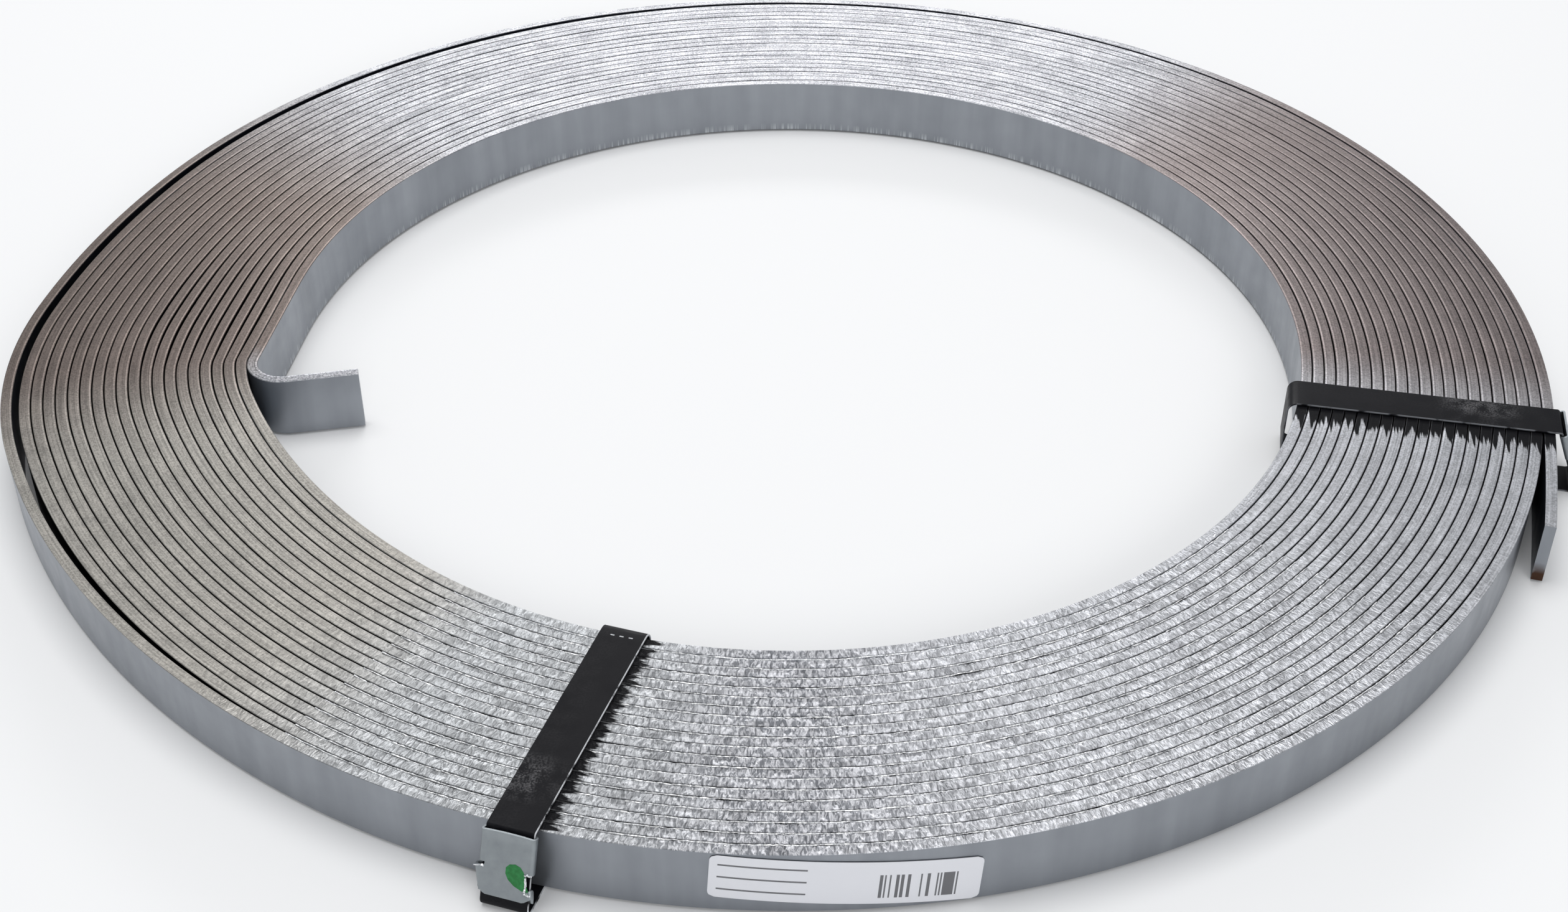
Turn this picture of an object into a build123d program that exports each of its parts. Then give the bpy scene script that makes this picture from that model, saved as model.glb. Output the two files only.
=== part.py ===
from build123d import *
import math
import os

# A flat-lying coil of galvanised flat bar, tied by two steel straps.
# Sizes are in millimetres. Angles are in degrees, clockwise seen from above, and start at the left, -X.

# Flat bar, standing on edge
STRIP_WIDTH = 25.0
STRIP_THICKNESS = 4.0
LAP_SLACK = 0.55
EDGE_CROWN = 0.6

# Tight laps of the coil
BORE_RADIUS = 205.5
TIGHT_LAPS = 20

# Bulge where every lap climbs over the bent start of the strip
BULGE_START = 308.0
BULGE_END = 381.0
CREST_START = 336.0
CREST_END = 366.0
CREST_RADIUS = 98.0

# Outer lap, which has sprung off the tight laps between these two angles
LOOSE_START = 302.0
LOOSE_GAP = 2.8
SPRUNG_START = 193.0
SPRUNG_RADIUS = 950.0
SPRUNG_LENGTH = 74.0

# Bent inner tail
TAIL_LEAVES = 366.0
TAIL_RUN = 56.0
TAIL_BEND_RADIUS = 11.0
TAIL_BEND_ANGLE = 107.0
TAIL_END = 28.0

# Steel straps, each a closed loop round the coil's section
STRAP_WIDTH = 16.0
STRAP_THICKNESS = 0.6
STRAP_CLEARANCE = 0.2
STRAP_LEAN = 11.0
SHOULDER_STANDOFF = 1.6
BORE_STANDOFF = 4.0
STRAP_ROUNDING = 4.0
TOE_ROUNDING = 2.5
SHOULDER_ROUNDING = 1.2

# Where each strap crosses the coil's rim, and how far it is turned off the radial line there
FRONT_STRAP_ANGLE = 286.2
FRONT_STRAP_SKEW = -1.5
RIGHT_STRAP_ANGLE = 194.5
RIGHT_STRAP_SKEW = 3.3

# Crimped seals, each a sleeve over the strap's leaning outer run
SEAL_LENGTH = 24.0
SEAL_THICKNESS = 0.8
SEAL_CLEARANCE = 0.15
STRAP_LAYERS = 2
NOTCH_DEPTH = 1.6
NOTCH_LENGTH = 5.5
NOTCH_DROP = 3.6
TAB_REACH = 3.2
TAB_LENGTH = 4.8
TAB_ROOT = 0.6
FRONT_TAB_LIFT = 15.0
RIGHT_TAB_LIFT = 60.0

# Paper label on the outermost tight lap
LABEL_LENGTH = 83.0
LABEL_HEIGHT = 18.0
LABEL_THICKNESS = 0.2
LABEL_CLEARANCE = 0.15
LABEL_ANGLE = 266.6
LABEL_TILT = 3.9

LAP_PITCH = STRIP_THICKNESS + LAP_SLACK
COIL_UNDERSIDE = STRAP_THICKNESS + STRAP_CLEARANCE
COIL_TOP = COIL_UNDERSIDE + STRIP_WIDTH
OUTER_RADIUS = BORE_RADIUS + (TIGHT_LAPS - 1) * LAP_PITCH + STRIP_THICKNESS
LOOSE_OUTER_RADIUS = OUTER_RADIUS + LAP_PITCH
HALF_TURN = 180.0
FULL_TURN = 360.0


def outward(angle):
    """Unit vector that points away from the axis at an angle of the coil."""
    radians = math.radians(angle)
    return Vector(-math.cos(radians), math.sin(radians))


def cross_2d(first, second):
    """Z component of the cross product of two flat vectors."""
    return first.X * second.Y - first.Y * second.X


def lap_radius(lap):
    """Radius of the inner face of a lap, counted from 0 at the bore."""
    return BORE_RADIUS + lap * LAP_PITCH


def lap_section(inner_radius, laps):
    """Section of laps that lie side by side, each with a crowned top and bottom edge."""
    ridges = []
    for lap in range(laps):
        inner = inner_radius + lap * LAP_PITCH
        ridges.append((inner, EDGE_CROWN))
        ridges.append((inner + STRIP_THICKNESS / 2, 0))
    ridges.append((inner + STRIP_THICKNESS, EDGE_CROWN))
    bottom = [(radius, COIL_UNDERSIDE + drop) for radius, drop in ridges]
    top = [(radius, COIL_TOP - drop) for radius, drop in reversed(ridges)]
    return make_face(Plane.XZ * Polyline(*bottom, *top, close=True))


def turned(centre, radius, start, end, laps=1):
    """Laps turned about a centre from one angle to the next."""
    section = Location((centre.X, centre.Y, 0), (0, 0, HALF_TURN - start)) * lap_section(radius, laps)
    axis = Axis((centre.X, centre.Y, 0), (0, 0, -1))
    return revolve(section, axis, end - start)


def climb(start_radius, end_radius, start, end, crest_radius):
    """Three tangent arcs, as centre, radius, start and end, that rise, pass the crest and fall.

    The first arc leaves a circle about the coil's axis and the last joins a larger one. The radii
    of those two arcs are the ones that make the chain of centres close.
    """
    leave, rise_end, fall_start, join = [outward(a) for a in (start, CREST_START, CREST_END, end)]
    rise_step = rise_end - leave
    fall_step = join - fall_start
    target = join * end_radius - leave * start_radius + (rise_end - fall_start) * crest_radius
    scale = cross_2d(rise_step, fall_step)
    rise_radius = cross_2d(target, fall_step) / scale
    fall_radius = cross_2d(rise_step, target) / scale
    rise_centre = leave * (start_radius - rise_radius)
    crest_centre = rise_centre + rise_end * (rise_radius - crest_radius)
    fall_centre = crest_centre + fall_start * (crest_radius - fall_radius)
    return [
        (rise_centre, rise_radius, start, CREST_START),
        (crest_centre, crest_radius, CREST_START, CREST_END),
        (fall_centre, fall_radius, CREST_END, end),
    ]


def tight_laps():
    """Laps that lie tight: round most of the turn, then over the bulge to the next radius out."""
    axis = Vector(0, 0)
    pieces = [
        turned(axis, lap_radius(0), BULGE_END - FULL_TURN, LOOSE_START, TIGHT_LAPS),
        turned(axis, lap_radius(0), LOOSE_START, BULGE_START, TIGHT_LAPS - 1),
    ]
    for arc in climb(lap_radius(0), lap_radius(1), BULGE_START, BULGE_END, CREST_RADIUS):
        pieces.append(turned(*arc, TIGHT_LAPS - 1))
    return pieces


def loose_lap():
    """Outer lap: off the tight laps over the bulge and the back, down again, then the sprung end."""
    last = lap_radius(TIGHT_LAPS - 1)
    after = lap_radius(TIGHT_LAPS)
    crest = CREST_RADIUS + (TIGHT_LAPS - 1) * LAP_PITCH + LOOSE_GAP
    pieces = [turned(*arc) for arc in climb(last, after + LOOSE_GAP, LOOSE_START, BULGE_END, crest)]
    back_start = BULGE_END - FULL_TURN
    back_centre = outward(back_start) * (LOOSE_GAP / 2)
    back_radius = after + LOOSE_GAP / 2
    pieces.append(turned(back_centre, back_radius, back_start, SPRUNG_START))
    sprung_centre = back_centre + outward(SPRUNG_START) * (back_radius - SPRUNG_RADIUS)
    sprung_end = SPRUNG_START + math.degrees(SPRUNG_LENGTH / SPRUNG_RADIUS)
    pieces.append(turned(sprung_centre, SPRUNG_RADIUS, SPRUNG_START, sprung_end))
    return pieces


def tail_piece(start, angle, length):
    """Straight length of strip that runs back from a point of its inner face."""
    section = Location((start.X, start.Y, 0), (0, 0, HALF_TURN - angle)) * lap_section(0, 1)
    return extrude(section, length, dir=-outward(angle + 90))


def inner_tail():
    """Start of the strip: it leaves the bore straight, then turns into it round a bend."""
    pieces = [turned(Vector(0, 0), lap_radius(0), TAIL_LEAVES, BULGE_END)]
    run_start = outward(TAIL_LEAVES) * lap_radius(0)
    pieces.append(tail_piece(run_start, TAIL_LEAVES, TAIL_RUN))
    run_end = run_start - outward(TAIL_LEAVES + 90) * TAIL_RUN
    bend_centre = run_end - outward(TAIL_LEAVES) * TAIL_BEND_RADIUS
    bent = TAIL_LEAVES - TAIL_BEND_ANGLE
    pieces.append(turned(bend_centre, TAIL_BEND_RADIUS, bent, TAIL_LEAVES))
    pieces.append(tail_piece(bend_centre + outward(bent) * TAIL_BEND_RADIUS, bent, TAIL_END))
    return pieces


def strip_coil():
    """The whole strip as one solid."""
    pieces = tight_laps() + loose_lap() + inner_tail()
    coil = pieces[0]
    for piece in pieces[1:]:
        coil = coil + piece
    return coil


def strap_place(angle, outer_radius, skew):
    """Where a strap's own upright plane stands: turned about its shoulder, off the radial line."""
    shoulder = Pos(outer_radius, 0, 0) * Rot(0, 0, skew) * Pos(-outer_radius, 0, 0)
    return Rot(0, 0, HALF_TURN - angle) * shoulder


def strap_corners(outer_radius):
    """Corners of the strap's outer face in its own plane, as radius and height."""
    inner = BORE_RADIUS - BORE_STANDOFF - STRAP_THICKNESS
    shoulder = outer_radius + SHOULDER_STANDOFF + STRAP_THICKNESS
    top = COIL_TOP + STRAP_CLEARANCE + STRAP_THICKNESS
    return [(inner, 0), (shoulder + STRAP_LEAN, 0), (shoulder, top), (inner, top)]


def strap(angle, outer_radius, skew):
    """Closed loop of strapping at an angle of the coil."""
    roundings = [STRAP_ROUNDING, TOE_ROUNDING, SHOULDER_ROUNDING, STRAP_ROUNDING]
    outline = FilletPolyline(*strap_corners(outer_radius), radius=roundings, close=True)
    outer = make_face(outline)
    loop = outer - offset(outer, amount=-STRAP_THICKNESS)
    band = extrude(Plane.XZ * loop, STRAP_WIDTH / 2, both=True)
    return strap_place(angle, outer_radius, skew) * band


def leaning_run(outer_radius):
    """Middle and downward direction of the strap's straight outer run, in the strap's own plane."""
    toe, shoulder = [Vector(r, 0, z) for r, z in strap_corners(outer_radius)[1:3]]
    run = (toe - shoulder).normalized()
    toe_angle = math.atan2(shoulder.Z - toe.Z, toe.X - shoulder.X)
    shoulder_curve = SHOULDER_ROUNDING * math.tan(toe_angle / 2)
    toe_curve = TOE_ROUNDING / math.tan(toe_angle / 2)
    middle = (toe + shoulder) * 0.5 + run * ((shoulder_curve - toe_curve) / 2)
    return middle, run


def seal(angle, outer_radius, skew, tab_lift):
    """Sleeve round the strap's outer run: a notch in each side, and a tab bent out of one."""
    middle, run = leaning_run(outer_radius)
    across = Vector(0, 1, 0)
    face = Plane(origin=middle, x_dir=across, z_dir=run.cross(across))
    width = STRAP_WIDTH + 2 * SEAL_CLEARANCE
    depth = STRAP_LAYERS * STRAP_THICKNESS + 2 * SEAL_CLEARANCE
    sleeve = Box(width + 2 * SEAL_THICKNESS, SEAL_LENGTH, depth + 2 * SEAL_THICKNESS)
    sleeve = sleeve - Box(width, SEAL_LENGTH, depth)
    edge = width / 2 + SEAL_THICKNESS
    for side in (-1, 1):
        sleeve = sleeve - Pos(side * edge, -NOTCH_DROP) * Box(2 * NOTCH_DEPTH, NOTCH_LENGTH, 4 * depth)
    root = Pos(NOTCH_DEPTH + TAB_ROOT - edge, -NOTCH_DROP, depth / 2) * Rot(0, tab_lift, 0)
    tab_length = TAB_ROOT + TAB_REACH
    tab = Pos(-tab_length / 2, 0, SEAL_THICKNESS / 2) * Box(tab_length, TAB_LENGTH, SEAL_THICKNESS)
    sleeve = sleeve + root * tab
    raised = (STRAP_LAYERS / 2 - 1) * STRAP_THICKNESS
    return strap_place(angle, outer_radius, skew) * (face * Pos(0, 0, raised) * sleeve)


def paper_label():
    """Label wrapped on the outermost tight lap, a little askew."""
    inner = OUTER_RADIUS + LABEL_CLEARANCE
    reach = math.degrees(LABEL_LENGTH / inner)
    wall = Plane.XZ * Pos(inner + LABEL_THICKNESS / 2, 0) * Rectangle(LABEL_THICKNESS, STRIP_WIDTH)
    shell = revolve(Rot(0, 0, reach) * wall, Axis((0, 0, 0), (0, 0, -1)), 2 * reach)
    outline = Box(2 * (inner + LABEL_HEIGHT), LABEL_LENGTH, LABEL_HEIGHT)
    label = shell & Rot(-LABEL_TILT, 0, 0) * outline
    place = Pos(0, 0, COIL_UNDERSIDE + STRIP_WIDTH / 2) * Rot(0, 0, HALF_TURN - LABEL_ANGLE)
    return place * label


def write(name, shape):
    """Save one piece."""
    solids = shape.solids()
    whole = solids[0] if len(solids) == 1 else Compound(children=list(solids))
    export_step(whole, f"parts/{name}.step")
    print(name, len(solids), round(whole.volume), whole.is_valid)


def main():
    """Build every piece and save it."""
    os.makedirs("parts", exist_ok=True)
    front = (FRONT_STRAP_ANGLE, OUTER_RADIUS, FRONT_STRAP_SKEW)
    right = (RIGHT_STRAP_ANGLE, LOOSE_OUTER_RADIUS, RIGHT_STRAP_SKEW)
    write("strip_coil", strip_coil())
    write("front_strap", strap(*front))
    write("right_strap", strap(*right))
    write("front_seal", seal(*front, FRONT_TAB_LIFT))
    write("right_seal", seal(*right, RIGHT_TAB_LIFT))
    write("paper_label", paper_label())


main()
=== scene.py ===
import logging
import math
from dataclasses import dataclass
from enum import Enum
from functools import partial
from typing import Any, Callable, NamedTuple

import bmesh
import bpy
from mathutils import Matrix, Vector


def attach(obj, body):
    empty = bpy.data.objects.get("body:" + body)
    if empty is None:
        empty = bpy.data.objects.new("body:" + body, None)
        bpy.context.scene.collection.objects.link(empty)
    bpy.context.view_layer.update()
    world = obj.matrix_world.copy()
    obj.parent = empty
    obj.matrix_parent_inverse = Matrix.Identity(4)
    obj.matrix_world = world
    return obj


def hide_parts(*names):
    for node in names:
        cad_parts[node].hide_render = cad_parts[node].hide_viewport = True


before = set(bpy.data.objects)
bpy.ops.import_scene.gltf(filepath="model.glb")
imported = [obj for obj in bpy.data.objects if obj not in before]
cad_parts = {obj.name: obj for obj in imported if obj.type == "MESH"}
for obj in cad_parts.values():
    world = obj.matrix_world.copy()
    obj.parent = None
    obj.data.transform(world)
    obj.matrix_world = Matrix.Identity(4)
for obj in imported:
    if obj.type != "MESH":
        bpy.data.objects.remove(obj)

MM = 0.001
FULL_TURN = 360.0
HALF_TURN = 180.0
SHARP_ANGLE = 32.0

MATH = "ShaderNodeMath"
VECTOR = "ShaderNodeVectorMath"
RANGE = "ShaderNodeMapRange"
MIX = "ShaderNodeMix"
NOISE = "ShaderNodeTexNoise"
MAPPING = "ShaderNodeMapping"
JOIN = "ShaderNodeCombineXYZ"
SPLIT = "ShaderNodeSeparateXYZ"
ATTRIBUTE = "ShaderNodeAttribute"
OBJECT_PLACE = "ShaderNodeTexCoord"
BUMP = "ShaderNodeBump"

log = logging.getLogger("steel_coil")


class CurveNormal(Enum):
    """How a ribbon's section is held as it follows its path."""

    LEVEL = "Z_UP"
    CARRIED = "MINIMUM_TWIST"


def linear(colour: str) -> tuple[float, float, float, float]:
    """Turn an sRGB hex colour to linear RGBA.

    Args:
        colour: Six hex digits after a hash sign.

    Returns:
        Linear red, green and blue, with an alpha of 1.
    """
    parts = [int(colour[i:i + 2], 16) / 255 for i in (1, 3, 5)]
    red, green, blue = [p / 12.92 if p <= 0.04045 else ((p + 0.055) / 1.055) ** 2.4 for p in parts]
    return red, green, blue, 1.0


def fill(tree: Any, node: Any, inputs: dict) -> None:
    """Set or link a node's inputs.

    Args:
        tree: The node tree.
        node: The node.
        inputs: Values, output sockets or nodes, whose first output counts, by name or number.
    """
    for key, value in inputs.items():
        if isinstance(value, bpy.types.Node):
            value = next(socket for socket in value.outputs if socket.enabled)
        if isinstance(value, bpy.types.NodeSocket):
            tree.links.new(value, node.inputs[key])
        else:
            node.inputs[key].default_value = value


def add_node(tree: Any, kind: str, inputs: dict | None = None, **settings: Any) -> Any:
    """Add a node with its settings, set or link its inputs, and return it.

    Args:
        tree: The node tree.
        kind: The node's type name.
        inputs: As for fill.
        **settings: Properties of the node.
    """
    node = tree.nodes.new(kind)
    for name, value in settings.items():
        setattr(node, name, value)
    fill(tree, node, inputs or {})
    return node


def shown(name: str, data: Any) -> bpy.types.Object:
    """Make an object of a mesh, lamp or camera and link it to the scene."""
    item = bpy.data.objects.new(name, data)
    bpy.context.scene.collection.objects.link(item)
    return item


def meshed(name: str, sheet: bmesh.types.BMesh, finish: bpy.types.Material) -> bpy.types.Mesh:
    """Turn an edit mesh into a mesh with its faces outwards and one material."""
    bmesh.ops.recalc_face_normals(sheet, faces=sheet.faces)
    mesh = bpy.data.meshes.new(name)
    sheet.to_mesh(mesh)
    sheet.free()
    mesh.materials.append(finish)
    return mesh


def outward(angle: float) -> Vector:
    """Unit vector that points away from the axis at an angle of the coil."""
    radians = math.radians(angle)
    return Vector((-math.cos(radians), math.sin(radians), 0.0))


def cross_2d(first: Vector, second: Vector) -> float:
    """Z component of the cross product of two flat vectors."""
    return first.x * second.y - first.y * second.x


def rounded(corners: list[Vector], radii: list[float], steps: int) -> list[Vector]:
    """Points of a closed outline whose corners are turned into arcs.

    Args:
        corners: Corners in order.
        radii: One radius for each corner.
        steps: Straight pieces in each arc.

    Returns:
        Points along the rounded outline.
    """
    points = []
    for i, corner in enumerate(corners):
        before = (corners[i - 1] - corner).normalized()
        after = (corners[(i + 1) % len(corners)] - corner).normalized()
        half = before.angle(after) / 2
        centre = corner + (before + after).normalized() * (radii[i] / math.sin(half))
        start = corner + before * (radii[i] / math.tan(half)) - centre
        end = corner + after * (radii[i] / math.tan(half)) - centre
        sweep = start.angle(end)
        side = (end - start * math.cos(sweep)) / math.sin(sweep)
        for k in range(steps + 1):
            turn = sweep * k / steps
            points.append(centre + start * math.cos(turn) + side * math.sin(turn))
    return points


@dataclass(frozen=True)
class Arc:
    """A stretch of the strip's inner face, turned about a centre from one angle to the next."""

    centre: Vector
    radius: float
    start: float
    end: float
    lap: int = 0

    def points(self, step: float) -> list[Vector]:
        """Points along the arc, without its last one.

        Args:
            step: Degrees between points, as a most.

        Returns:
            Flat points in millimetres.
        """
        count = max(1, math.ceil(abs(self.end - self.start) / step))
        angles = [self.start + (self.end - self.start) * k / count for k in range(count)]
        return [self.centre + outward(a) * self.radius for a in angles]


@dataclass(frozen=True)
class StripPath:
    """Route of the strip's inner face from the bent tail, lap by lap, to the sprung end."""

    thickness: float = 4.0
    slack: float = 0.55
    bore_radius: float = 205.5
    laps: int = 20
    bulge_start: float = 308.0
    bulge_end: float = 381.0
    crest_start: float = 336.0
    crest_end: float = 366.0
    crest_radius: float = 98.0
    loose_start: float = 302.0
    loose_gap: float = 2.8
    sprung_start: float = 193.0
    sprung_radius: float = 950.0
    sprung_length: float = 74.0
    tail_leaves: float = 366.0
    tail_run: float = 56.0
    tail_bend_radius: float = 11.0
    tail_bend_angle: float = 107.0
    tail_end: float = 28.0
    settled_laps: int = 9
    step: float = 1.2
    bend_step: float = 9.0

    @property
    def pitch(self) -> float:
        """Distance from one lap to the next."""
        return self.thickness + self.slack

    @property
    def outer_radius(self) -> float:
        """Radius of the outermost tight lap's outer face."""
        return self.lap_radius(self.laps - 1) + self.thickness

    def lap_radius(self, lap: int) -> float:
        """Radius of the inner face of a lap, counted from 0 at the bore."""
        return self.bore_radius + lap * self.pitch

    def climb(self, start_radius: float, end_radius: float, start: float, lap: int) -> list[Arc]:
        """Arcs that rise from one circle, pass the bulge's crest and fall to a larger circle.

        Args:
            start_radius: Radius of the circle that the first arc leaves.
            end_radius: Radius of the circle that the last arc joins.
            start: Angle where the climb starts.
            lap: The lap that the climb leads to.

        Returns:
            The three arcs.
        """
        crest = self.crest_radius + start_radius - self.bore_radius
        crest += end_radius - start_radius - self.pitch
        angles = (start, self.crest_start, self.crest_end, self.bulge_end)
        leave, rise_end, fall_start, join = [outward(a) for a in angles]
        target = join * end_radius - leave * start_radius + (rise_end - fall_start) * crest
        scale = cross_2d(rise_end - leave, join - fall_start)
        rise = cross_2d(target, join - fall_start) / scale
        fall = cross_2d(rise_end - leave, target) / scale
        rise_centre = leave * (start_radius - rise)
        crest_centre = rise_centre + rise_end * (rise - crest)
        fall_centre = crest_centre + fall_start * (crest - fall)
        return [
            Arc(rise_centre, rise, start, self.crest_start, lap),
            Arc(crest_centre, crest, self.crest_start, self.crest_end, lap),
            Arc(fall_centre, fall, self.crest_end, self.bulge_end, lap),
        ]

    def tail(self) -> list[Vector]:
        """Points of the bent tail, from its tip to where it joins the bore."""
        bent = self.tail_leaves - self.tail_bend_angle
        run_start = outward(self.tail_leaves) * self.bore_radius
        run_end = run_start - outward(self.tail_leaves + 90) * self.tail_run
        bend_centre = run_end - outward(self.tail_leaves) * self.tail_bend_radius
        bend = Arc(bend_centre, self.tail_bend_radius, bent, self.tail_leaves)
        tip = (bend_centre + outward(bent) * self.tail_bend_radius
               - outward(bent + 90) * self.tail_end)
        lead = [tip.lerp(bend.points(self.bend_step)[0], k / 6) for k in range(6)]
        run = [run_end.lerp(run_start, k / 12) for k in range(12)]
        return lead + bend.points(self.bend_step) + run

    def arcs(self) -> list[Arc]:
        """Every arc after the tail, in order along the strip."""
        axis = Vector((0, 0, 0))
        arcs = [Arc(axis, self.bore_radius, self.tail_leaves - FULL_TURN, self.bulge_start)]
        for lap in range(1, self.laps):
            inner, outer = self.lap_radius(lap - 1), self.lap_radius(lap)
            arcs += self.climb(inner, outer, self.bulge_start, lap)
            end = self.bulge_start if lap < self.laps - 1 else self.loose_start
            arcs.append(Arc(axis, self.lap_radius(lap), self.bulge_end - FULL_TURN, end))
        after = self.lap_radius(self.laps)
        last = self.lap_radius(self.laps - 1)
        arcs += self.climb(last, after + self.loose_gap, self.loose_start, self.laps)
        back_centre = outward(self.bulge_end) * (self.loose_gap / 2)
        back_radius = after + self.loose_gap / 2
        arcs.append(Arc(back_centre, back_radius, self.bulge_end - FULL_TURN, self.sprung_start))
        shift = back_radius - self.sprung_radius
        sprung_centre = back_centre + outward(self.sprung_start) * shift
        sprung_end = self.sprung_start + math.degrees(self.sprung_length / self.sprung_radius)
        arcs.append(Arc(sprung_centre, self.sprung_radius, self.sprung_start, sprung_end))
        return arcs

    def settled(self, point: Vector, lap: int) -> Vector:
        """Point of a climb, drawn in so that the first laps share out the room beside the tail.

        Args:
            point: Point of the climb's inner face.
            lap: The lap that the climb leads to.

        Returns:
            The point, nearer the axis where the laps would stand clear of the tail.
        """
        angle = math.degrees(math.atan2(point.y, -point.x))
        leaves = self.tail_leaves - FULL_TURN
        bend = leaves - math.degrees(math.atan2(self.tail_run, self.bore_radius))
        lean = math.radians(leaves - min(leaves, max(angle, bend)))
        seat = (self.bore_radius + self.thickness) / math.cos(lean) + self.slack
        spare = point.length - (lap - 1) * self.pitch - seat
        share = max(0.0, 1 - (lap - 1) / self.settled_laps)
        near = min(1.0, max(0.0, 1 + (angle - bend) / 8.0))
        return point - point.normalized() * (max(0.0, spare) * share * near * near * (3 - 2 * near))

    def inner_face(self) -> list[Vector]:
        """Points along the strip's inner face, from the tail's tip to the sprung end."""
        points = self.tail()
        arcs = self.arcs()
        for arc in arcs:
            step = self.step if arc.radius < self.sprung_radius else self.step / 3
            points += [self.settled(p, arc.lap) if arc.lap else p for p in arc.points(step)]
        last = arcs[-1]
        points.append(last.centre + outward(last.end) * last.radius)
        return points

    def middle(self, depth: float) -> list[Vector]:
        """Points inside the strip, along its length.

        Args:
            depth: Distance from the inner face.

        Returns:
            Flat points in millimetres.
        """
        face = self.inner_face()
        points = []
        for i, point in enumerate(face):
            along = (face[min(i + 1, len(face) - 1)] - face[max(i - 1, 0)]).normalized()
            points.append(point + Vector((-along.y, along.x, 0)) * depth)
        return points

    def gap(self, lap: int, aside: float, start: float, end: float, step: float) -> list[Vector]:
        """Points along the gap outside a lap.

        Args:
            lap: The lap, counted from 0 at the bore.
            aside: Distance from the gap's middle, outwards.
            start: First angle.
            end: Last angle.
            step: Millimetres between points.

        Returns:
            Flat points in millimetres.
        """
        radius = self.lap_radius(lap) + self.thickness + self.slack / 2 + aside
        count = math.ceil(math.radians(end - start) * radius / step)
        return [outward(start + (end - start) * k / count) * radius for k in range(count + 1)]


@dataclass(frozen=True)
class StrapRoute:
    """Closed route of one strap round the coil's section, in its own upright plane."""

    angle: float
    outer_radius: float
    skew: float
    bore_radius: float
    strip_width: float = 25.0
    width: float = 16.0
    thickness: float = 0.6
    clearance: float = 0.2
    lean: float = 11.0
    shoulder_standoff: float = 1.6
    bore_standoff: float = 4.0
    roundings: tuple[float, ...] = (4.0, 2.5, 1.2, 4.0)
    steps: int = 7

    @property
    def underside(self) -> float:
        """Height of the coil's underside above the floor."""
        return self.thickness + self.clearance

    @property
    def top(self) -> float:
        """Height of the strap's upper face."""
        return self.underside + self.strip_width + self.clearance + self.thickness

    def place(self) -> Matrix:
        """Matrix from the strap's own plane to the coil's frame, in millimetres."""
        turn = Matrix.Rotation(math.radians(HALF_TURN - self.angle), 4, "Z")
        there = Matrix.Translation((self.outer_radius, 0, 0))
        skewed = Matrix.Rotation(math.radians(self.skew), 4, "Z")
        return turn @ there @ skewed @ there.inverted()

    def corners(self) -> list[Vector]:
        """Corners of the strap's outer face, as radius and height."""
        inner = self.bore_radius - self.bore_standoff - self.thickness
        shoulder = self.outer_radius + self.shoulder_standoff + self.thickness
        flat = [(inner, 0), (shoulder + self.lean, 0), (shoulder, self.top), (inner, self.top)]
        return [Vector((x, 0, z)) for x, z in flat]

    def middle(self) -> list[Vector]:
        """Points along the middle of the strap's thickness, from its top run, round and back."""
        corners = self.corners()
        inset = []
        for i, corner in enumerate(corners):
            before = (corners[i - 1] - corner).normalized()
            after = (corners[(i + 1) % len(corners)] - corner).normalized()
            reach = self.thickness / 2 / math.sin(before.angle(after) / 2)
            inset.append(corner + (before + after).normalized() * reach)
        radii = [r - self.thickness / 2 for r in self.roundings]
        order = [3, 0, 1, 2]
        points = rounded([inset[i] for i in order], [radii[i] for i in order], self.steps)
        top_run = [points[-1].lerp(points[0], k / 24) for k in range(1, 24)]
        return [self.place() @ p for p in top_run + points]


@dataclass(frozen=True)
class RibbonSize:
    """Section of a ribbon, how unevenly it lies and how ragged its skin is."""

    across: float
    depth: float
    corner: float
    corner_steps: int = 1
    wander: float = 0.0
    wander_length: float = 300.0
    ragged: float = 0.0
    ragged_length: float = 1.0
    seed: int = 1


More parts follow.
